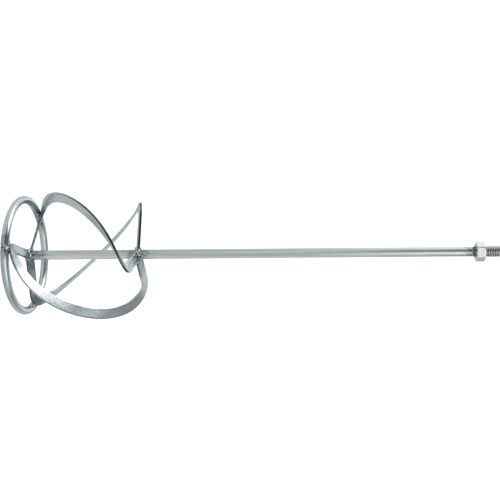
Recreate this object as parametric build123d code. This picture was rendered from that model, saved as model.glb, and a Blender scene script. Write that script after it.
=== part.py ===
"""Mortar mixing paddle: a welded three-blade helical cage on a plain shaft with an M14 drive end.

The paddle stands upright on its ring. The origin is on the shaft's axis at the ring's lowest
point, and +Z runs up the shaft to the drive thread. All lengths are millimetres and all angles
degrees. Angles about the shaft are counted from +X towards +Y.
"""

import os
from math import cos, pi, radians, sin, sqrt

from build123d import *

# Overall
total_length = 600.0

# Ring: a round rod bent to a circle, with its two ends butted and welded
ring_rod_diameter = 10.0
ring_centre_diameter = 142.0
ring_joint_angle = 262.0
ring_joint_gap = 0.8

# Shaft: a plain round bar from the cage's lower hub to the nut
shaft_diameter = 12.0
shaft_bottom = 6.0
shaft_end_chamfer = 1.0

# Drive end: an M14 x 2 threaded stud and a hexagon nut, across flats 22 and 11 high
thread_diameter = 14.0
thread_pitch = 2.0
thread_depth = 1.2
thread_pitch_diameter = 12.7
crest_excess = 0.2
crest_angle = 60.0
flank_angle = 120.0
thread_length = 18.6
thread_end_chamfer = 1.4
nut_across_flats = 22.0
nut_height = 11.0
nut_corner_chamfer = 1.2
nut_countersink = 1.0
nut_turn = 5.5

# Blades: flat bar bent on edge into a radial arm, a helix that climbs round the shaft, and a
# second radial arm. Radii and heights are those of the middle of the bar.
blade_start_angles = (16.0, 139.0, 261.0)
bar_width = 13.0
bar_thickness = 3.0
helix_turn = 147.5
helix_start_radius = 63.2
helix_middle_radius = 75.4
helix_end_radius = 66.5
helix_start_height = 9.7
helix_end_height = 150.2
helix_easing = 0.48
lower_corner = 11.0
upper_corner = 16.0
lower_corner_share = 0.059
upper_corner_share = 0.082

# Angle between the bar's wide side and the shaft, and how far the outer edge leans out of the
# radial direction, down in the helix's lower half and up in its upper half
start_pitch = 67.0
middle_pitch = 46.0
end_pitch = 68.5
largest_lean = 18.0

# Weld beads
hub_bead_size = 2.2
hub_bead_overrun = 1.0
hub_bead_root = 1.5
hub_bead_reach = 2.6
hub_bead_corner = 3.2
hub_bead_edge = 1.75
ring_bead_radius = 2.6
ring_bead_half_angle = 5.0
ring_bead_lift = 35.0
joint_weld_inset = 0.6
nut_bead_size = 1.8

# How far an arm runs into the shaft before it is coped to fit round it
arm_overrun = 2.0

# How finely the blade's path is followed
arm_steps = 3
corner_steps = 6
helix_steps = 22

# Derived sizes
shaft_radius = shaft_diameter / 2
ring_rod_radius = ring_rod_diameter / 2
ring_radius = ring_centre_diameter / 2
thread_radius = thread_diameter / 2
shank_radius = thread_pitch_diameter / 2
nut_top = total_length - thread_length
nut_bottom = nut_top - nut_height
arm_inner_radius = shaft_radius - arm_overrun


def polar(radius, angle, height):
    """Return the point at a radius and angle about the shaft, at a height."""
    return Vector(radius * cos(radians(angle)), radius * sin(radians(angle)), height)


def through(start, middle, end, share):
    """Return the value at a share of the way on the parabola through three values."""
    rest = 1 - share
    return start * rest * (1 - 2 * share) + 4 * middle * share * rest - end * share * (1 - 2 * share)


def helix_point(share):
    """Return the bar's middle at a share of the helix, for a blade that starts at angle 0."""
    radius = through(helix_start_radius, helix_middle_radius, helix_end_radius, share)
    climb = share - helix_easing * sin(2 * pi * share) / (2 * pi)
    height = helix_start_height + (helix_end_height - helix_start_height) * climb
    return polar(radius, helix_turn * share, height)


def straight(start, end, steps):
    """Return evenly spaced points from start up to, but not including, end."""
    return [start + (end - start) * (i / steps) for i in range(steps)]


def corner(start, peak, end, steps):
    """Return points on the round corner from start to end, without the last one."""
    shares = [i / steps for i in range(steps)]
    return [start * (1 - t) ** 2 + peak * (2 * t * (1 - t)) + end * t**2 for t in shares]


def blade_path():
    """Return points along the bar's middle: arm, corner, helix, corner, arm."""
    lower_arm_end = polar(helix_start_radius - lower_corner, 0, helix_start_height)
    upper_arm_end = polar(helix_end_radius - upper_corner, helix_turn, helix_end_height)
    first = lower_corner_share
    last = 1 - upper_corner_share
    points = straight(polar(arm_inner_radius, 0, helix_start_height), lower_arm_end, arm_steps)
    points += corner(lower_arm_end, helix_point(0), helix_point(first), corner_steps)
    points += [helix_point(first + (last - first) * i / helix_steps) for i in range(helix_steps)]
    points += corner(helix_point(last), helix_point(1), upper_arm_end, corner_steps)
    points += straight(upper_arm_end, polar(arm_inner_radius, helix_turn, helix_end_height), arm_steps)
    points.append(polar(arm_inner_radius, helix_turn, helix_end_height))
    return points


def bar_normal(point, along):
    """Return the unit normal of the bar's wide face at a point on its path."""
    outward = Vector(point.X, point.Y, 0).normalized()
    around = Vector(0, 0, 1).cross(outward)
    angle = outward.get_signed_angle(Vector(1, 0, 0), Vector(0, 0, -1))
    share = min(max(angle / helix_turn, 0), 1)
    pitch = radians(through(start_pitch, middle_pitch, end_pitch, share))
    lean = radians(largest_lean * sin(2 * pi * share))
    normal = Vector(0, 0, 1) * sin(pitch) - around * cos(pitch)
    normal = normal * cos(lean) + outward * sin(lean)
    return (normal - along * normal.dot(along)).normalized()


def make_blade():
    """Return a blade that starts at angle 0, with smooth curves for its four long edges."""
    path = blade_path()
    half_width = bar_width / 2
    half_thickness = bar_thickness / 2
    sides = ((1, 1), (-1, 1), (-1, -1), (1, -1))
    rails = [[] for _ in sides]
    for i, point in enumerate(path):
        along = (path[min(i + 1, len(path) - 1)] - path[max(i - 1, 0)]).normalized()
        normal = bar_normal(point, along)
        across = along.cross(normal)
        for rail, (wide, thick) in zip(rails, sides):
            rail.append(point + across * (wide * half_width) + normal * (thick * half_thickness))
    edges = [Edge.make_spline(rail) for rail in rails]
    faces = [Face.make_surface_from_curves(edges[i], edges[(i + 1) % 4]) for i in range(4)]
    for end in (0, -1):
        faces.append(Face(Wire.make_polygon([rail[end] for rail in rails], close=True)))
    bar = Solid(Shell(faces))
    bore = Cylinder(shaft_radius, total_length, align=(Align.CENTER, Align.CENTER, Align.MIN))
    return bar - bore - ring_rod()


def ring_rod():
    """Return the ring's rod as a closed circle."""
    return Pos(0, 0, ring_rod_radius) * Torus(ring_radius, ring_rod_radius)


def make_ring():
    """Return the ring of round rod, open by a small gap where its ends meet."""
    slot_size = 3 * ring_rod_radius
    slot = Pos(ring_radius, 0, ring_rod_radius) * Box(slot_size, ring_joint_gap, slot_size)
    return ring_rod() - Rot(0, 0, ring_joint_angle) * slot


def make_shaft():
    """Return the plain shaft, chamfered at its free lower end."""
    length = nut_bottom - shaft_bottom
    bar = Pos(0, 0, shaft_bottom) * Cylinder(
        shaft_radius, length, align=(Align.CENTER, Align.CENTER, Align.MIN)
    )
    return chamfer(bar.edges().sort_by(Axis.Z)[0], shaft_end_chamfer)


def thread_section():
    """Return a cross-section of the thread: once round, a crest, a flank, the root and a flank.

    The crest stands proud of the thread's radius, so that a plain blank can trim it.
    """
    crest_radius = thread_radius + crest_excess
    root_radius = thread_radius - thread_depth
    middle_radius = (crest_radius + root_radius) / 2
    root_start = crest_angle + flank_angle
    root_end = 360 - flank_angle
    down = (crest_angle, crest_angle + flank_angle / 2, root_start)
    up = (root_end, root_end + flank_angle / 2, 360)
    radii = (crest_radius, middle_radius, root_radius)
    edges = [
        Edge.make_circle(crest_radius, start_angle=0, end_angle=crest_angle),
        ThreePointArc(*[polar(r, a, 0) for r, a in zip(radii, down)]),
        Edge.make_circle(root_radius, start_angle=root_start, end_angle=root_end),
        ThreePointArc(*[polar(r, a, 0) for r, a in zip(reversed(radii), up)]),
    ]
    return Face(Wire(edges))


def make_stud():
    """Return the threaded stud: a plain shank in the nut, and the drive thread above it."""
    turns = thread_length / thread_pitch
    screw = Solid.extrude_linear_with_rotation(
        thread_section(), (0, 0, 0), (0, 0, thread_length), 360 * turns
    )
    blank = Cylinder(thread_radius, thread_length, align=(Align.CENTER, Align.CENTER, Align.MIN))
    blank = chamfer(blank.edges().sort_by(Axis.Z)[-1], thread_end_chamfer)
    shank = Cylinder(shank_radius, nut_height, align=(Align.CENTER, Align.CENTER, Align.MIN))
    return Pos(0, 0, nut_bottom) * shank + Pos(0, 0, nut_top) * (blank & screw)


def make_nut():
    """Return the hexagon nut with its corners chamfered at both ends."""
    hexagon = RegularPolygon(nut_across_flats / 2, 6, major_radius=False, rotation=nut_turn)
    block = extrude(hexagon, nut_height)
    rounding = Cylinder(
        nut_across_flats / sqrt(3), nut_height, align=(Align.CENTER, Align.CENTER, Align.MIN)
    )
    rounding = chamfer(rounding.edges().filter_by(GeomType.CIRCLE), nut_corner_chamfer)
    bore = Cylinder(shank_radius, nut_height, align=(Align.CENTER, Align.CENTER, Align.MIN))
    countersink = Pos(0, 0, nut_height - nut_countersink) * Cone(
        shank_radius,
        shank_radius + nut_countersink,
        nut_countersink,
        align=(Align.CENTER, Align.CENTER, Align.MIN),
    )
    return Pos(0, 0, nut_bottom) * ((block & rounding) - bore - countersink)


def make_hub_weld(arm_angle, height, pitch, blade):
    """Return the bead all round an arm where it meets the shaft."""
    place = Plane(
        origin=polar(shaft_radius - hub_bead_root, arm_angle, height),
        x_dir=polar(1, arm_angle + 90, 0) * sin(radians(pitch)) + Vector(0, 0, cos(radians(pitch))),
        z_dir=polar(1, arm_angle, 0),
    )
    wide = bar_width + 2 * hub_bead_overrun
    thick = bar_thickness + 2 * hub_bead_size
    outline = RectangleRounded(wide, thick, hub_bead_corner)
    pad = extrude(outline, hub_bead_root + hub_bead_reach)
    pad = fillet(pad.faces().sort_by(Axis.Z)[-1].edges(), hub_bead_edge)
    bar = Cylinder(shaft_radius, total_length, align=(Align.CENTER, Align.CENTER, Align.MIN))
    return place * pad - bar - blade


def make_ring_weld(blade):
    """Return the bead between the ring's upper inner side and a blade's lower corner."""
    bead_radius = ring_radius - ring_rod_radius * cos(radians(ring_bead_lift))
    bead_height = ring_rod_radius + ring_rod_radius * sin(radians(ring_bead_lift))
    section = Plane(
        origin=polar(bead_radius, -ring_bead_half_angle, bead_height),
        z_dir=polar(1, 90 - ring_bead_half_angle, 0),
    ) * Circle(ring_bead_radius)
    bead = revolve(section, Axis.Z, 2 * ring_bead_half_angle)
    return bead - ring_rod() - blade


def make_joint_weld():
    """Return the butt weld that joins the ring's two ends, a little below the rod's surface."""
    disc = Rot(90, 0, 0) * Cylinder(ring_rod_radius - joint_weld_inset, ring_joint_gap)
    return Rot(0, 0, ring_joint_angle) * Pos(ring_radius, 0, ring_rod_radius) * disc


def make_nut_weld():
    """Return the fillet bead round the shaft at the nut's lower face."""
    profile = Polyline(
        (shaft_radius, 0, 0),
        (shaft_radius, 0, -nut_bead_size),
        (shaft_radius + nut_bead_size, 0, 0),
        close=True,
    )
    return Pos(0, 0, nut_bottom) * revolve(make_face(profile), Axis.Z, 360)


def build():
    """Return every sub-part of the paddle by its node name."""
    parts = {
        "shaft": make_shaft(),
        "ring": make_ring(),
        "threaded_stud": make_stud(),
        "hex_nut": make_nut(),
        "ring_butt_weld": make_joint_weld(),
        "nut_weld": make_nut_weld(),
    }
    blade = make_blade()
    blade_set = {
        "blade": blade,
        "ring_weld": make_ring_weld(blade),
        "lower_hub_weld": make_hub_weld(0, helix_start_height, start_pitch, blade),
        "upper_hub_weld": make_hub_weld(helix_turn, helix_end_height, end_pitch, blade),
    }
    for number, start_angle in enumerate(blade_start_angles, start=1):
        for name, shape in blade_set.items():
            parts[f"{name}_{number}"] = Rot(0, 0, start_angle) * shape
    return parts


def main():
    """Write one STEP file for each sub-part."""
    os.makedirs("parts", exist_ok=True)
    for name, shape in build().items():
        export_step(shape, f"parts/{name}.step")


main()
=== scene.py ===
"""Looks for the welded mortar mixing paddle: zinc-plated steel pieces built round the CAD frame."""

import random
from math import cos, pi, radians, sin, sqrt

import bmesh
import bpy
from mathutils import Matrix, Vector, noise


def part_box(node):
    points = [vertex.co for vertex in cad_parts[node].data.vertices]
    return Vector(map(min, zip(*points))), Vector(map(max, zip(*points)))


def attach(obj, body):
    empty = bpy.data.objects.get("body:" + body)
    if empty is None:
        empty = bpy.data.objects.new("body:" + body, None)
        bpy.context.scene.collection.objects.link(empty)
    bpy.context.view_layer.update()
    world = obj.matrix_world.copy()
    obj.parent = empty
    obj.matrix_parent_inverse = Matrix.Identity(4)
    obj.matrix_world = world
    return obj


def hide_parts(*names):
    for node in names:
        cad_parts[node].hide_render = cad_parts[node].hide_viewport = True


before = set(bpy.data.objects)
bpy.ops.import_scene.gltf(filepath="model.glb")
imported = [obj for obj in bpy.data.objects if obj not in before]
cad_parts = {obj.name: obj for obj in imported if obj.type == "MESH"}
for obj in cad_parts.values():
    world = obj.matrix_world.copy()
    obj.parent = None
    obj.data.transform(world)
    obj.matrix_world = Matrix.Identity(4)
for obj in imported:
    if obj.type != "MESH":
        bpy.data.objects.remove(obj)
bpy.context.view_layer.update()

MM = 0.001

# Sizes read from the frame, in millimetres
ring_low, ring_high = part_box("ring")
shaft_low, shaft_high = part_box("shaft")
nut_low, nut_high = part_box("hex_nut")
stud_low, stud_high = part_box("threaded_stud")
rod_radius = (ring_high[2] - ring_low[2]) / 2 / MM
ring_radius = (ring_high[0] - ring_low[0]) / 2 / MM - rod_radius
shaft_radius = (shaft_high[0] - shaft_low[0]) / 2 / MM
shaft_bottom = shaft_low[2] / MM
nut_bottom = nut_low[2] / MM
nut_top = nut_high[2] / MM
thread_radius = (stud_high[0] - stud_low[0]) / 2 / MM
thread_top = stud_high[2] / MM
weld_nodes = [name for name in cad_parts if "weld" in name]
weld_boxes = [[Vector(corner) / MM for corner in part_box(name)] for name in weld_nodes]

# The blade's path, as in the CAD: middle of a flat bar, in millimetres and degrees
START_ANGLES = (16.0, 139.0, 261.0)
BAR_WIDTH = 13.0
BAR_THICKNESS = 3.0
BAR_EDGE = 0.5
HELIX_TURN = 147.5
HELIX_RADII = (63.2, 75.4, 66.5)
HELIX_HEIGHTS = (9.7, 150.2)
HELIX_EASING = 0.48
CORNERS = (11.0, 16.0)
CORNER_SHARES = (0.059, 0.082)
PITCHES = (67.0, 46.0, 68.5)
LARGEST_LEAN = 18.0
# How far an arm's end reaches into the shaft
ARM_SINK = 1.0
# Flow along a bar, for its surface marks: how far apart the blades' flows are, and the stretch over
# which painted shade darkens the outer edge
FLOW_STEP = 400.0
EDGE_SHADE_STRETCH = (110.0, 190.0)

RING_JOINT_ANGLE = 262.0
RING_JOINT_GAP = 0.8
NUT_ACROSS_FLATS = 22.0
NUT_TURN = 5.5
THREAD_PITCH = 2.0
THREAD_DEPTH = 1.2

# Studio tent: (angle, brightness) of the panels round it, (height, brightness) of its walls, and
# (height, share) of the band that the panels fill
TENT_STRENGTH = 1.25
TENT_PANELS = ((-180, 0.66), (-150, 0.85), (-118, 0.96), (-80, 0.82), (-60, 0.38), (-46, 0.08),
               (-8, 0.08), (0, 0.34), (11, 0.98), (46, 0.92), (64, 0.45), (84, 0.22), (112, 0.26),
               (135, 0.38), (160, 0.50), (180, 0.66))
TENT_WALLS = ((-1.0, 0.36), (-0.8, 0.48), (-0.4, 0.56), (-0.1, 0.46), (0.1, 0.46), (0.78, 0.34),
              (0.92, 0.24), (1.0, 0.22))
PANEL_BAND = ((0.0, 0.0), (0.105, 0.45), (0.25, 0.9), (0.42, 1.0), (0.74, 1.0), (0.84, 0.0))
FLOOR_GLOW = 0.36

# The camera looks nearly square at the shaft; places in metres, lens and sensor in millimetres
CAMERA_PLACE = (-0.0043, -0.9688, 0.3641)
CAMERA_TARGET = (-0.0043, 0.0, 0.2928)
PICTURE_UP = (-1.0, 0.0, 0.0084)
LENS = 55.76
SENSOR_WIDTH = 36.0

# How far from a weld painted shade darkens the surface, in millimetres
WELD_SHADE_REACH = 30.0

# Colours of painted shade near the welds, and of the flat bar's darker narrow faces
NEAR_WELD_SHADE = (0.58, 0.66, 0.69)
WELD_SHADE_PATCH = (0.15, 0.165, 0.18)
SHEARED_EDGE_AND_SHADE = (0.06, 0.066, 0.07)

# The softbox that whitens the front blade, in metres, watts and degrees
KEY_PLACE = (-0.216, -0.036, 0.284)
KEY_TARGET = (0.05, -0.06, 0.05)
KEY_SIZE = (0.23, 0.26)
KEY_POWER = 0.085
KEY_SPREAD = 55

# Points this close are one point, in millimetres
SAME_POINT = 1e-5

# Grain of the weld beads' meshes, coarse and fine, and how high their surface ripples
BEAD_VOXEL = 0.42
FINE_BEAD_VOXEL = 0.3
BEAD_RIPPLE = 0.16


# ---------------------------------------------------------------- mesh helpers

def weld_closeness(point):
    """Return how near a point is to a weld: 1 at a weld, falling to 0 away from it."""
    nearest = WELD_SHADE_REACH
    for low, high in weld_boxes:
        gap = [max(a - p, p - b, 0) for a, p, b in zip(low, point, high)]
        nearest = min(nearest, Vector(gap).length)
    return (1 - nearest / WELD_SHADE_REACH) ** 2


def make_piece(name, verts, faces, material, replaces=(), flow=None):
    """Make a smooth mesh piece from points in millimetres, and tie it to the frame.

    Each point carries its flow, a place along and across the bar that the surface lines follow, or
    its own x, y and z where no flow is given. It also carries how near it is to a weld.
    """
    mesh = bpy.data.meshes.new(name)
    mesh.from_pydata([Vector(v) * MM for v in verts], [], faces)
    mesh.validate()
    bm = bmesh.new()
    bm.from_mesh(mesh)
    bmesh.ops.recalc_face_normals(bm, faces=bm.faces)
    bm.to_mesh(mesh)
    bm.free()
    mesh.polygons.foreach_set("use_smooth", [True] * len(mesh.polygons))
    points = flow if flow is not None else verts
    attribute = mesh.attributes.new("flow", "FLOAT_VECTOR", "POINT")
    attribute.data.foreach_set("vector", [c for p in points for c in p])
    attribute = mesh.attributes.new("weld_closeness", "FLOAT", "POINT")
    attribute.data.foreach_set("value", [weld_closeness(v) for v in verts])
    mesh.materials.append(material)
    piece = bpy.data.objects.new(name, mesh)
    bpy.context.scene.collection.objects.link(piece)
    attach(piece, "root")
    for node in replaces:
        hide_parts(node)
    return piece


def polar(radius, angle, height):
    """Return the point at a radius and angle about the shaft, at a height."""
    return Vector((radius * cos(radians(angle)), radius * sin(radians(angle)), height))


def tube_faces(rings, count, closed=False):
    """Return the quads between rings of count points, and end caps where it isn't closed."""
    faces = []
    last = rings if closed else rings - 1
    for i in range(last):
        a = i * count
        b = ((i + 1) % rings) * count
        for j in range(count):
            k = (j + 1) % count
            faces.append((a + j, a + k, b + k, b + j))
    if not closed:
        faces.append(tuple(range(count)))
        faces.append(tuple(reversed(range((rings - 1) * count, rings * count))))
    return faces


def lathe(profile, count):
    """Return points, faces and flow of a closed turned shape from (radius, height) pairs."""
    verts = []
    for radius, height in profile:
        verts += [polar(radius, 360 * j / count, height) for j in range(count)]
    flow = [(v.z, v.x, v.y) for v in verts]
    return verts, tube_faces(len(profile), count), flow


# ---------------------------------------------------------------- blades

def through(values, share):
    """Return the value at a share of the way on the parabola through three values."""
    start, middle, end = values
    rest = 1 - share
    return start * rest * (1 - 2 * share) + 4 * middle * share * rest - end * share * (1 - 2 * share)


def helix_point(share):
    """Return the bar's middle at a share of the helix, for a blade that starts at angle 0."""
    climb = share - HELIX_EASING * sin(2 * pi * share) / (2 * pi)
    height = HELIX_HEIGHTS[0] + (HELIX_HEIGHTS[1] - HELIX_HEIGHTS[0]) * climb
    return polar(through(HELIX_RADII, share), HELIX_TURN * share, height)


def blade_path(arm_steps=24, corner_steps=22, helix_steps=150):
    """Return points along the bar's middle: arm, corner, helix, corner, arm."""
    inner = shaft_radius - ARM_SINK
    foot = polar(inner, 0, HELIX_HEIGHTS[0])
    low = polar(HELIX_RADII[0] - CORNERS[0], 0, HELIX_HEIGHTS[0])
    high = polar(HELIX_RADII[2] - CORNERS[1], HELIX_TURN, HELIX_HEIGHTS[1])
    top = polar(inner, HELIX_TURN, HELIX_HEIGHTS[1])
    first, last = CORNER_SHARES[0], 1 - CORNER_SHARES[1]

    def line(start, end):
        return [start.lerp(end, i / arm_steps) for i in range(arm_steps)]

    def bend(start, peak, end):
        shares = [i / corner_steps for i in range(corner_steps)]
        return [start * (1 - t) ** 2 + peak * (2 * t * (1 - t)) + end * t * t for t in shares]

    points = line(foot, low) + bend(low, helix_point(0), helix_point(first))
    points += [helix_point(first + (last - first) * i / helix_steps) for i in range(helix_steps)]
    points += bend(helix_point(last), helix_point(1), high) + line(high, top) + [top]
    return points


def bar_section():
    """Return the flat bar's outline: rounded edges, and held flats that stay flat when shaded."""
    points = []
    half_width, half_thickness = BAR_WIDTH / 2, BAR_THICKNESS / 2
    hold = 0.35
    arc_steps = 4
    for wide, thick, start in ((1, 1, 0), (-1, 1, 90), (-1, -1, 180), (1, -1, 270)):
        cx = wide * (half_width - BAR_EDGE)
        cy = thick * (half_thickness - BAR_EDGE)
        arc = [start + 90 * i / arc_steps for i in range(arc_steps + 1)]
        corner = [(cx + BAR_EDGE * cos(radians(a)), cy + BAR_EDGE * sin(radians(a))) for a in arc]
        if start in (0, 180):
            before, after = (corner[0][0], cy - thick * hold), (cx - wide * hold, corner[-1][1])
        else:
            before, after = (cx - wide * hold, corner[0][1]), (corner[-1][0], cy - thick * hold)
        points += [before] + corner + [after]
    return points


def bar_normal(point, along):
    """Return the unit normal of the bar's wide face at a point on its path."""
    outward = Vector((point.x, point.y, 0)).normalized()
    around = Vector((0, 0, 1)).cross(outward)
    angle = Vector((1, 0)).angle_signed(Vector((point.x, -point.y)), 0)
    share = min(max(angle * 180 / pi / HELIX_TURN, 0), 1)
    pitch = radians(through(PITCHES, share))
    lean = radians(LARGEST_LEAN * sin(2 * pi * share))
    normal = Vector((0, 0, 1)) * sin(pitch) - around * cos(pitch)
    normal = normal * cos(lean) + outward * sin(lean)
    return (normal - along * normal.dot(along)).normalized()


def make_blade(number, start_angle, material):
    """Make one blade: the flat bar's outline carried along its path."""
    path = blade_path()
    section = bar_section()
    spin = Matrix.Rotation(radians(start_angle), 3, "Z")
    verts, flow = [], []
    length = 0.0
    for i, point in enumerate(path):
        before, after = path[max(i - 1, 0)], path[min(i + 1, len(path) - 1)]
        along = (after - before).normalized()
        normal = bar_normal(point, along)
        across = along.cross(normal)
        if i:
            length += (point - path[i - 1]).length
        for x, y in section:
            verts.append(spin @ (point + across * x + normal * y))
            flow.append((length + FLOW_STEP * number, x, y))
    name = f"blade_{number}"
    faces = tube_faces(len(path), len(section))
    return make_piece(f"{name}_bar", verts, faces, material, [name], flow)


# ---------------------------------------------------------------- ring, shaft and drive end

def make_ring(material):
    """Make the ring: a round rod bent to a circle, with its two ends a little out of line."""
    count, steps = 48, 300
    # The rod's last two sections narrow to its end face, and the ends sit slightly inwards
    last_but_one, last_step, out_of_line = 0.96, 0.1, 0.3
    open_angle = RING_JOINT_GAP / ring_radius * 180 / pi
    verts, flow = [], []
    for i in range(steps + 1):
        share = i / steps
        angle = RING_JOINT_ANGLE + open_angle / 2 + (360 - open_angle) * share
        end = min(i, steps - i)
        radius = rod_radius * (1 if end > 1 else last_but_one - last_step * (1 - end))
        drift = out_of_line * (share - 0.5)
        middle = polar(ring_radius - abs(drift), angle, rod_radius)
        for j in range(count):
            turn = 2 * pi * j / count
            outward = polar(1, angle, 0)
            verts.append(middle + outward * (radius * cos(turn)) + Vector((0, 0, radius * sin(turn))))
            flow.append((radians(angle) * ring_radius, radius * cos(turn), radius * sin(turn)))
    return make_piece("ring_rod", verts, tube_faces(steps + 1, count), material,
                      ["ring"], flow)


def make_shaft(material):
    """Make the shaft: a drawn round bar with a rounded lower end."""
    edge, edge_steps = 1.0, 6
    rows, count = 60, 96
    profile = [(shaft_radius - 3 * edge, shaft_bottom)]
    for i in range(edge_steps + 1):
        turn = radians(90 * i / edge_steps)
        profile.append((shaft_radius - edge + edge * sin(turn), shaft_bottom + edge - edge * cos(turn)))
    length = nut_bottom - shaft_bottom
    profile += [(shaft_radius, shaft_bottom + length * i / rows) for i in range(1, rows + 1)]
    verts, faces, flow = lathe(profile, count)
    return make_piece("shaft_bar", verts, faces, material, ["shaft"], flow)


def make_nut(material):
    """Make the hexagon nut: flats, rounded corners and the turned chamfer at both ends."""
    count = 360
    bore = thread_radius - 0.2
    bore_chamfer = 0.55
    rim = NUT_ACROSS_FLATS / 2 * 0.965
    rim_drop = 0.08
    blunt_corner = NUT_ACROSS_FLATS / sqrt(3) - 0.32
    slope = 0.5
    edge = 0.25
    height = nut_top - nut_bottom
    # Under each corner the chamfer rolls over into the flat by these steps
    roll_in, roll_drops = 0.05, (0.22, 0.5, 1.1)
    verts, flow = [], []

    def hexagon_radius(angle):
        """Return the hexagon's radius at an angle, with its sharp corners blunted."""
        from_flat = (angle - NUT_TURN) % 60 - 30
        return min(NUT_ACROSS_FLATS / 2 / cos(radians(from_flat)), blunt_corner)

    for j in range(count):
        angle = 360 * j / count
        outer = hexagon_radius(angle)
        drop = max(0.0, outer - rim) * slope
        half = [(bore, bore_chamfer * 1.6), (bore, bore_chamfer), (bore + bore_chamfer, 0),
                (bore + 2 * bore_chamfer, 0), (rim - 2 * edge, 0), (rim - edge / 2, rim_drop / 4),
                (rim + 0.1, rim_drop)]
        half += [(rim + (outer - rim) * s, rim_drop + drop * s) for s in (0.35, 0.7, 0.92)]
        half += [(outer - roll_in, drop + roll_drops[0]), (outer, drop + roll_drops[1]),
                 (outer, drop + roll_drops[2])]
        column = [(r, h) for r, h in half] + [(r, height - h) for r, h in reversed(half)]
        for r, h in column:
            verts.append(polar(r, angle, nut_bottom + h))
            flow.append(tuple(verts[-1]))
    rows = len(column)
    faces = []
    for j in range(count):
        k = (j + 1) % count
        for i in range(rows):
            m = (i + 1) % rows
            faces.append((j * rows + i, j * rows + m, k * rows + m, k * rows + i))
    return make_piece("nut_body", verts, faces, material, ["hex_nut"], flow)


def thread_profile(share):
    """Return the thread's depth below its crest at a share of one pitch."""
    share = share % 1
    crest, root = 0.22, 0.16
    flank = (1 - crest - root) / 2
    if share < crest:
        return 0.0
    if share < crest + flank:
        return THREAD_DEPTH * (share - crest) / flank
    if share < crest + flank + root:
        return THREAD_DEPTH
    return THREAD_DEPTH * (1 - share) / flank


def make_stud(material):
    """Make the drive thread: a real right-handed helix, chamfered at its free end."""
    count, rows = 72, 20
    bottom = nut_top - 1.2
    chamfer = 1.5
    run_in = 3.0
    floor_radius = thread_radius - THREAD_DEPTH - 0.15
    chamfer_slope = (thread_radius - floor_radius) / chamfer
    turns = int((thread_top - bottom) / THREAD_PITCH) + 2
    total = turns * rows

    verts = []
    for k in range(total + 1):
        for j in range(count):
            z = bottom - THREAD_PITCH + THREAD_PITCH * (k / rows + j / count)
            height = min(max(z, bottom), thread_top)
            low_limit = floor_radius + max(0, height - bottom) * run_in
            high_limit = floor_radius + max(0, thread_top - height) * chamfer_slope
            radius = min(thread_radius - thread_profile(k / rows), low_limit, high_limit)
            verts.append(polar(radius, 360 * j / count, height))
    faces = []
    for k in range(total + 1):
        for j in range(count - 1):
            if k < total:
                a = k * count + j
                faces.append((a, a + 1, a + count + 1, a + count))
        if k + rows < total:
            a = k * count + count - 1
            b = (k + rows) * count
            faces.append((a, b, b + count, a + count))
    bm = bmesh.new()
    points = [bm.verts.new(v) for v in verts]
    for f in faces:
        bm.faces.new([points[i] for i in f])
    bmesh.ops.remove_doubles(bm, verts=bm.verts, dist=SAME_POINT)
    bmesh.ops.dissolve_degenerate(bm, edges=bm.edges, dist=SAME_POINT)
    loose = [v for v in bm.verts if not v.link_faces]
    bmesh.ops.delete(bm, geom=loose, context="VERTS")
    bmesh.ops.holes_fill(bm, edges=[e for e in bm.edges if e.is_boundary], sides=0)
    bm.verts.index_update()
    verts = [v.co.copy() for v in bm.verts]
    faces = [[v.index for v in f.verts] for f in bm.faces]
    bm.free()
    return make_piece("stud_thread", verts, faces, material, ["threaded_stud"])


# ---------------------------------------------------------------- welds

def weld_bead(name, node, drops, material, seed, voxel=BEAD_VOXEL):
    """Make one weld bead: molten drops run together, then smoothed and left slightly rippled."""
    source = bmesh.new()
    for centre, radius in drops:
        bmesh.ops.create_icosphere(
            source, subdivisions=2, radius=radius, matrix=Matrix.Translation(centre)
        )
    mesh = bpy.data.meshes.new(name + "_drops")
    source.to_mesh(mesh)
    source.free()
    lump = bpy.data.objects.new(name + "_drops", mesh)
    bpy.context.scene.collection.objects.link(lump)
    remesh = lump.modifiers.new("join", "REMESH")
    remesh.mode = "VOXEL"
    remesh.voxel_size = voxel
    smooth = lump.modifiers.new("smooth", "SMOOTH")
    smooth.factor = 0.6
    smooth.iterations = 3
    graph = bpy.context.evaluated_depsgraph_get()
    melted = bpy.data.meshes.new_from_object(lump.evaluated_get(graph))
    bpy.data.objects.remove(lump)
    verts = []
    for v in melted.vertices:
        ripple = noise.noise(v.co * 0.9 + Vector((seed, 0, 0)))
        verts.append(v.co + v.normal * (BEAD_RIPPLE * ripple))
    faces = [tuple(p.vertices) for p in melted.polygons]
    bpy.data.meshes.remove(melted)
    return make_piece(name, verts, faces, material, [node])


def hub_drops(angle, height, pitch, seed):
    """Return drops all round an arm's end, where it meets the shaft."""
    dice = random.Random(seed)
    outward = polar(1, angle, 0)
    across = polar(1, angle + 90, 0) * sin(radians(pitch)) + Vector((0, 0, cos(radians(pitch))))
    normal = outward.cross(across)
    centre = polar(0, 0, height)
    half_width = BAR_WIDTH / 2 - 0.3
    half_thickness = BAR_THICKNESS / 2 + 1.0
    drops = []
    count = 22
    for i in range(count):
        turn = 2 * pi * i / count
        side = across * (half_width * cos(turn)) + normal * (half_thickness * sin(turn))
        flat = Vector((side.x, side.y, 0))
        inward = sqrt(max(shaft_radius**2 - min(flat.length, shaft_radius * 0.97) ** 2, 0))
        reach = inward + dice.uniform(0.5, 1.8)
        drops.append((centre + side + outward * reach, dice.uniform(1.4, 2.2)))
    return drops


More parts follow.
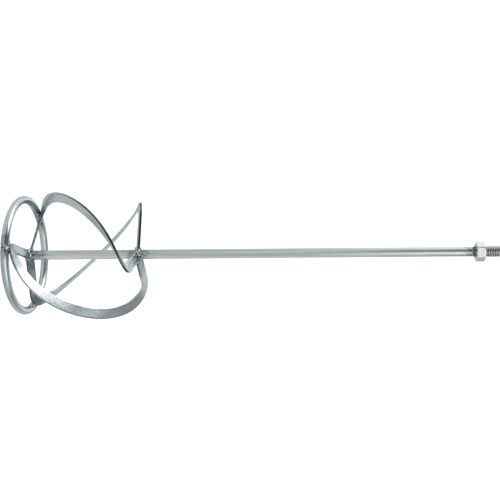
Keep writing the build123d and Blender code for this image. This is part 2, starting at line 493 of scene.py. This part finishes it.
def ring_drops(start_angle, seed):
    """Return drops along the ring's upper inner side, under a blade's lower corner."""
    dice = random.Random(seed)
    steps = 12
    first_angle, span = start_angle - 5.5, 10.5
    middle_lift, scatter = 38, 7
    drops = []
    for i in range(steps + 1):
        angle = first_angle + span * i / steps
        lift = radians(middle_lift + dice.uniform(-scatter, scatter))
        radius = ring_radius - rod_radius * cos(lift)
        height = rod_radius + rod_radius * sin(lift)
        drops.append((polar(radius, angle, height), dice.uniform(1.5, 2.3)))
    return drops


def joint_drops(seed):
    """Return drops round the ring's butt joint, fullest on the rod's inner side."""
    dice = random.Random(seed)
    drops = []
    count = 20
    for i in range(count):
        turn = 2 * pi * i / count
        inner = 0.5 - 0.5 * cos(turn)
        sink = 1.25 - 0.65 * inner
        radius = ring_radius + (rod_radius - sink) * cos(turn)
        height = rod_radius + (rod_radius - sink) * sin(turn)
        size = 1.0 + 0.35 * inner * dice.uniform(0.6, 1.2)
        drops.append((polar(radius, RING_JOINT_ANGLE, height), size))
    return drops


def nut_drops(seed):
    """Return drops round the shaft at the nut's lower face."""
    dice = random.Random(seed)
    radius, height = shaft_radius + 0.35, nut_bottom - 0.5
    drops = []
    count = 26
    for i in range(count):
        angle = 360 * i / count + dice.uniform(-3, 3)
        drops.append((polar(radius, angle, height), dice.uniform(0.9, 1.25)))
    return drops


# ---------------------------------------------------------------- materials

def new_material(name):
    """Return a new node material, its node tree and its principled shader."""
    material = bpy.data.materials.new(name)
    material.use_nodes = True
    tree = material.node_tree
    return material, tree, tree.nodes["Principled BSDF"]


def read_attribute(tree, name, output):
    """Return one output of a point attribute."""
    node = tree.nodes.new("ShaderNodeAttribute")
    node.attribute_name = name
    return node.outputs[output]


def flow_noise(tree, stretch, scale, detail, roughness=0.55):
    """Return the output of a noise that follows the piece's flow, stretched along it."""
    mapping = tree.nodes.new("ShaderNodeMapping")
    mapping.inputs["Scale"].default_value = stretch
    texture = tree.nodes.new("ShaderNodeTexNoise")
    texture.inputs["Scale"].default_value = scale
    texture.inputs["Detail"].default_value = detail
    texture.inputs["Roughness"].default_value = roughness
    tree.links.new(read_attribute(tree, "flow", "Vector"), mapping.inputs["Vector"])
    tree.links.new(mapping.outputs["Vector"], texture.inputs["Vector"])
    return texture.outputs["Fac"]


def ramp(tree, source, stops):
    """Return the colour output of a ramp over (position, colour) stops."""
    node = tree.nodes.new("ShaderNodeValToRGB")
    elements = node.color_ramp.elements
    while len(elements) < len(stops):
        elements.new(0.5)
    for element, (position, colour) in zip(elements, stops):
        element.position = position
        element.color = (*colour, 1) if len(colour) == 3 else colour
    tree.links.new(source, node.inputs["Fac"])
    return node.outputs["Color"]


def blend_colours(tree, mode, factor, first, second):
    """Return the mix of two colours, by a fixed or a linked factor."""
    node = tree.nodes.new("ShaderNodeMix")
    node.data_type = "RGBA"
    node.blend_type = mode
    if isinstance(factor, float):
        node.inputs[0].default_value = factor
    else:
        tree.links.new(factor, node.inputs[0])
    for socket, value in ((node.inputs[6], first), (node.inputs[7], second)):
        if isinstance(value, tuple):
            socket.default_value = (*value, 1)
        else:
            tree.links.new(value, socket)
    return node.outputs[2]


def to_range(tree, source, low, high, out_low, out_high):
    """Return a value remapped from one range to another, clamped."""
    node = tree.nodes.new("ShaderNodeMapRange")
    for socket, value in zip(("From Min", "From Max", "To Min", "To Max"),
                             (low, high, out_low, out_high)):
        node.inputs[socket].default_value = value
    tree.links.new(source, node.inputs["Value"])
    return node.outputs["Result"]


def add(tree, first, second, operation="ADD"):
    """Return the sum, or another operation, of two values."""
    node = tree.nodes.new("ShaderNodeMath")
    node.operation = operation
    for socket, value in zip(node.inputs, (first, second)):
        if isinstance(value, (int, float)):
            socket.default_value = value
        else:
            tree.links.new(value, socket)
    return node.outputs[0]


def bump(tree, shader, height, strength, distance):
    """Give a shader a bump from a height value."""
    node = tree.nodes.new("ShaderNodeBump")
    node.inputs["Strength"].default_value = strength
    node.inputs["Distance"].default_value = distance
    tree.links.new(height, node.inputs["Height"])
    tree.links.new(node.outputs["Normal"], shader.inputs["Normal"])


def flow_parts(tree):
    """Return the three parts of a piece's flow.

    They are the places along it, sideways and through it for the blades, and x, y and z for the
    nut, the stud and the beads.
    """
    parts = tree.nodes.new("ShaderNodeSeparateXYZ")
    tree.links.new(read_attribute(tree, "flow", "Vector"), parts.inputs[0])
    return parts.outputs[0], parts.outputs[1], parts.outputs[2]


def darken_near_welds(tree, colour, most, haze):
    """Return a colour darkened with painted shade near welds: dimmed, and mottled with dark patches.

    The dark patches cover up to the share most, and the haze is how much painted shade dims the wider
    area.
    """
    closeness = read_attribute(tree, "weld_closeness", "Fac")
    # Painted shade near a weld: the colour dimmed all round it, then mottled with dark patches
    weld_shaded = blend_colours(tree, "MULTIPLY", haze, colour, NEAR_WELD_SHADE)
    colour = blend_colours(tree, "MIX", to_range(tree, closeness, 0.0, 0.08, 0, 1), colour, weld_shaded)
    patches = flow_noise(tree, (0.35, 1, 1), 0.34, 5, 0.62)
    patches = add(tree, patches, add(tree, closeness, 0.4, "MULTIPLY"))
    scale = to_range(tree, patches, 0.66, 0.80, 0, most)
    return blend_colours(tree, "MIX", scale, colour, WELD_SHADE_PATCH)


def darken_bar_edges(tree, colour):
    """Return a colour with dark narrow faces on the flat bar.

    The outer edge is a little dark all along, as a sheared edge, and dark with painted shade over its
    upper part; both edges are dark with painted shade near a weld.
    """
    along, sideways = flow_parts(tree)[:2]
    rim_start, rim_end = BAR_WIDTH / 2 - 0.45, BAR_WIDTH / 2 - 0.15
    outer = to_range(tree, sideways, rim_start, rim_end, 0, 1)
    edges = to_range(tree, add(tree, sideways, 0.0, "ABSOLUTE"), rim_start, rim_end, 0, 1)
    # Painted shade over the outer edge's upper stretch
    upper = to_range(tree, add(tree, along, FLOW_STEP, "MODULO"), *EDGE_SHADE_STRETCH, 0.3, 1)
    # Painted shade on both edges near a weld
    edge_shade_near_welds = to_range(tree, read_attribute(tree, "weld_closeness", "Fac"), 0.0, 0.1, 0, 0.8)
    dark_outer = add(tree, outer, upper, "MULTIPLY")
    shaded_edges_near_welds = add(tree, edges, edge_shade_near_welds, "MULTIPLY")
    mask = add(tree, dark_outer, shaded_edges_near_welds, "MAXIMUM")
    # The painted shade on the edges is broken up at random
    shade_breakup = flow_noise(tree, (0.25, 1, 1), 0.9, 3)
    mask = add(tree, mask, to_range(tree, shade_breakup, 0.35, 0.7, 1.0, 0.8), "MULTIPLY")
    return blend_colours(tree, "MIX", mask, colour, SHEARED_EDGE_AND_SHADE)


def plated_steel(name, light, dark, rough, grain, streaks, dents=0.0, bands=0.0, scale=0.0,
                 haze=0.0, flat_bar=False):
    """Zinc-plated steel: cloudy plating, rolling or drawing lines along the flow, and fine grain.

    The bands are broad, long marks along the bar, left by drawing and by uneven plating. The scale
    and the haze set the painted shade near the welds, dark patches and a wider dimming, and a flat
    bar's narrow faces are darkened, a little all along as a sheared edge and more with painted shade.
    """
    material, tree, shader = new_material(name)
    shader.inputs["Metallic"].default_value = 1.0
    cloud = flow_noise(tree, (0.35, 1, 1), 0.16, 4)
    fine = flow_noise(tree, (1, 1, 1), 1.9, 5, 0.65)
    lines = flow_noise(tree, (0.03, 1, 1), 2.6, 4, 0.6)
    spots = flow_noise(tree, (0.8, 1, 1), 0.6, 2, 0.4)
    colour = ramp(tree, cloud, [(0.32, dark), (0.66, light)])
    streak_colour = ramp(tree, lines, [(0.30, (0.80, 0.80, 0.80)), (0.68, (1, 1, 1))])
    colour = blend_colours(tree, "MULTIPLY", 0.55 * streaks + 0.15, colour, streak_colour)
    spot_colour = ramp(tree, spots, [(0.24, (0.72, 0.73, 0.72)), (0.36, (1, 1, 1))])
    colour = blend_colours(tree, "MULTIPLY", 0.5, colour, spot_colour)
    if bands:
        marks = flow_noise(tree, (0.004, 1, 1), 0.55, 3, 0.5)
        mark_colour = ramp(tree, marks, [(0.36, (0.52, 0.53, 0.54)), (0.48, (0.86, 0.87, 0.87)),
                                         (0.60, (1.0, 1.0, 1.0))])
        colour = blend_colours(tree, "MULTIPLY", bands, colour, mark_colour)
    if flat_bar:
        colour = darken_bar_edges(tree, colour)
    # Painted shade near the welds: dark patches and a wider dimming
    if scale:
        colour = darken_near_welds(tree, colour, scale, haze)
    tree.links.new(colour, shader.inputs["Base Color"])
    gloss = to_range(tree, fine, 0.3, 0.7, rough - 0.06, rough + 0.08)
    gloss = add(tree, gloss, to_range(tree, cloud, 0.3, 0.7, -0.03, 0.03))
    tree.links.new(gloss, shader.inputs["Roughness"])
    height = add(tree, add(tree, fine, grain, "MULTIPLY"), add(tree, lines, streaks, "MULTIPLY"))
    if dents:
        height = add(tree, height, add(tree, spots, dents, "MULTIPLY"))
    bump(tree, shader, height, 0.5, 0.10 * MM)
    return material


def weld_metal(name):
    """Weld metal under zinc: bright and lumpy, with painted shade darkening its pits nearly to black.
    """
    material, tree, shader = new_material(name)
    shader.inputs["Metallic"].default_value = 1.0
    pits = flow_noise(tree, (1, 1, 1), 0.5, 3, 0.6)
    fine = flow_noise(tree, (1, 1, 1), 1.6, 4, 0.6)
    # Painted shade: the pits go near black
    colour = ramp(tree, pits, [(0.44, (0.02, 0.02, 0.025)), (0.49, (0.50, 0.54, 0.56)),
                               (0.54, (0.98, 1.0, 1.0))])
    tree.links.new(colour, shader.inputs["Base Color"])
    tree.links.new(to_range(tree, fine, 0.3, 0.7, 0.10, 0.26), shader.inputs["Roughness"])
    bump(tree, shader, add(tree, pits, add(tree, fine, 0.3, "MULTIPLY")), 1.0, 2.4 * MM)
    return material


def thread_oil_and_painted_light(name):
    """A dark rolled thread: roots darkened by oil and scale and by painted shade, crests lightened as
    worn metal and with painted highlight.
    """
    material, tree, shader = new_material(name)
    shader.inputs["Metallic"].default_value = 1.0
    x, y, height = flow_parts(tree)
    squared = add(tree, add(tree, x, x, "MULTIPLY"), add(tree, y, y, "MULTIPLY"))
    radius = add(tree, squared, 0.5, "POWER")
    crest = to_range(tree, radius, thread_radius - THREAD_DEPTH, thread_radius, 0, 1)
    wear = flow_noise(tree, (1, 1, 1), 0.8, 4)
    end_face = to_range(tree, height, thread_top - 0.3, thread_top - 0.1, 0, 0.6)
    rubbed_and_highlit = add(tree, crest, end_face, "MAXIMUM")
    crest = add(tree, rubbed_and_highlit, to_range(tree, wear, 0.3, 0.7, -0.3, 0.3))
    # Painted shade in the roots and painted highlight on the crests and the end, besides oil, scale and
    # wear
    colour = ramp(tree, crest, [(0.15, (0.06, 0.06, 0.065)), (0.40, (0.50, 0.51, 0.54)),
                                (0.65, (0.97, 0.98, 1.0))])
    tree.links.new(colour, shader.inputs["Base Color"])
    tree.links.new(to_range(tree, wear, 0.3, 0.7, 0.16, 0.34), shader.inputs["Roughness"])
    bump(tree, shader, flow_noise(tree, (1, 1, 1), 4.0, 3), 0.4, 0.06 * MM)
    return material


# ---------------------------------------------------------------- stage

def make_floor():
    """Make the plain pale floor that the paddle stands on."""
    mesh = bpy.data.meshes.new("floor")
    half, level = 4.0, -0.0002
    corners = [(-half, -half, level), (half, -half, level), (half, half, level), (-half, half, level)]
    mesh.from_pydata(corners, [], [(0, 1, 2, 3)])
    material, tree, shader = new_material("pale_floor")
    shader.inputs["Base Color"].default_value = (0.35, 0.35, 0.35, 1)
    shader.inputs["Roughness"].default_value = 0.9
    shader.inputs["Specular IOR Level"].default_value = 0.1
    shader.inputs["Emission Color"].default_value = (1, 1, 1, 1)
    rays = tree.nodes.new("ShaderNodeLightPath")
    glow = to_range(tree, rays.outputs["Is Camera Ray"], 0, 1, FLOOR_GLOW, 1.0)
    tree.links.new(glow, shader.inputs["Emission Strength"])
    mesh.materials.append(material)
    plane = bpy.data.objects.new("floor", mesh)
    bpy.context.scene.collection.objects.link(plane)


def grey_ramp(tree, source, stops):
    """Return a ramp over (position, brightness) stops, a little bluish like daylight lamps."""
    return ramp(tree, source, [(place, (0.98 * v, v, v)) for place, v in stops])


def make_world():
    """Make a soft studio tent of bright panels and dark gaps, seen only in reflections and light.

    Angles round the tent are counted from the camera's side, from -180 to 180 degrees, and rise
    towards +X. Heights run from -1 straight down to 1 straight up.
    """
    world = bpy.data.worlds.new("tent")
    bpy.context.scene.world = world
    world.use_nodes = True
    tree = world.node_tree
    background = tree.nodes["Background"]
    where = tree.nodes.new("ShaderNodeTexCoord")
    parts = tree.nodes.new("ShaderNodeSeparateXYZ")
    tree.links.new(where.outputs["Generated"], parts.inputs[0])
    to_camera = add(tree, parts.outputs[1], -1.0, "MULTIPLY")
    turn = to_range(tree, add(tree, parts.outputs[0], to_camera, "ARCTAN2"), -pi, pi, 0, 1)
    height = to_range(tree, parts.outputs[2], -1, 1, 0, 1)
    panels = grey_ramp(tree, turn, [((angle + 180) / 360, value) for angle, value in TENT_PANELS])
    walls = grey_ramp(tree, height, [((rise + 1) / 2, value) for rise, value in TENT_WALLS])
    band = grey_ramp(tree, height, [((rise + 1) / 2, value) for rise, value in PANEL_BAND])
    tent = blend_colours(tree, "MIX", band, walls, panels)
    rays = tree.nodes.new("ShaderNodeLightPath")
    seen = blend_colours(tree, "MIX", rays.outputs["Is Camera Ray"], tent, (1.0, 1.0, 1.0))
    tree.links.new(seen, background.inputs["Color"])
    background.inputs["Strength"].default_value = TENT_STRENGTH


def softbox(name, place, target, size, power, spread):
    """Add an area light at place, turned to target, in metres, its beam spread in degrees."""
    light = bpy.data.lights.new(name, "AREA")
    light.spread = radians(spread)
    light.shape = "RECTANGLE"
    light.size, light.size_y = size
    light.energy = power
    lamp = bpy.data.objects.new(name, light)
    lamp.visible_camera = False
    lamp.location = place
    lamp.rotation_mode = "QUATERNION"
    lamp.rotation_quaternion = (Vector(target) - Vector(place)).to_track_quat("-Z", "Y")
    bpy.context.scene.collection.objects.link(lamp)


def make_camera():
    """Look nearly square at the shaft from the -Y side, rolled so that it lies across the picture."""
    place = Vector(CAMERA_PLACE)
    data = bpy.data.cameras.new("camera")
    data.sensor_width = SENSOR_WIDTH
    data.lens = LENS
    camera = bpy.data.objects.new("camera", data)
    back = (place - Vector(CAMERA_TARGET)).normalized()
    right = Vector(PICTURE_UP).cross(back).normalized()
    up = back.cross(right)
    turn = Matrix((right, up, back)).transposed().to_4x4()
    camera.matrix_world = Matrix.Translation(place) @ turn
    bpy.context.scene.collection.objects.link(camera)
    bpy.context.scene.camera = camera


# ---------------------------------------------------------------- build

blade_steel = plated_steel("blade_steel", (0.80, 0.88, 0.895), (0.70, 0.775, 0.79), rough=0.235,
                           grain=1.1, streaks=0.5, dents=0.25, bands=0.08, scale=0.6, haze=0.6,
                           flat_bar=True)
ring_steel = plated_steel("ring_steel", (0.80, 0.88, 0.90), (0.66, 0.73, 0.745), rough=0.18,
                          grain=0.35, streaks=0.5, bands=0.6, scale=0.5)
shaft_steel = plated_steel("shaft_steel", (0.94, 0.99, 1.0), (0.86, 0.92, 0.93), rough=0.16,
                           grain=0.3, streaks=0.7, bands=0.7, scale=0.6)
nut_steel = plated_steel("nut_steel", (0.93, 0.93, 0.94), (0.78, 0.79, 0.80), rough=0.20,
                         grain=1.0, streaks=0.1, dents=0.8)
weld_steel = weld_metal("weld_steel")
thread_steel = thread_oil_and_painted_light("thread_steel")

for index, start in enumerate(START_ANGLES, start=1):
    end = start + HELIX_TURN
    make_blade(index, start, blade_steel)
    weld_bead(f"bead_ring_{index}", f"ring_weld_{index}",
              ring_drops(start, 10 + index), weld_steel, index)
    weld_bead(f"bead_low_{index}", f"lower_hub_weld_{index}",
              hub_drops(start, HELIX_HEIGHTS[0], PITCHES[0], 20 + index), weld_steel, index)
    weld_bead(f"bead_high_{index}", f"upper_hub_weld_{index}",
              hub_drops(end, HELIX_HEIGHTS[1], PITCHES[2], 30 + index), weld_steel, index)
make_ring(ring_steel)
make_shaft(shaft_steel)
make_nut(nut_steel)
make_stud(thread_steel)
weld_bead("bead_joint", "ring_butt_weld", joint_drops(41), weld_steel, 5, FINE_BEAD_VOXEL)
weld_bead("bead_nut", "nut_weld", nut_drops(42), weld_steel, 6, FINE_BEAD_VOXEL)

make_floor()
make_world()
softbox("key", KEY_PLACE, KEY_TARGET, KEY_SIZE, KEY_POWER, KEY_SPREAD)
make_camera()
bpy.context.scene.view_settings.view_transform = "Standard"
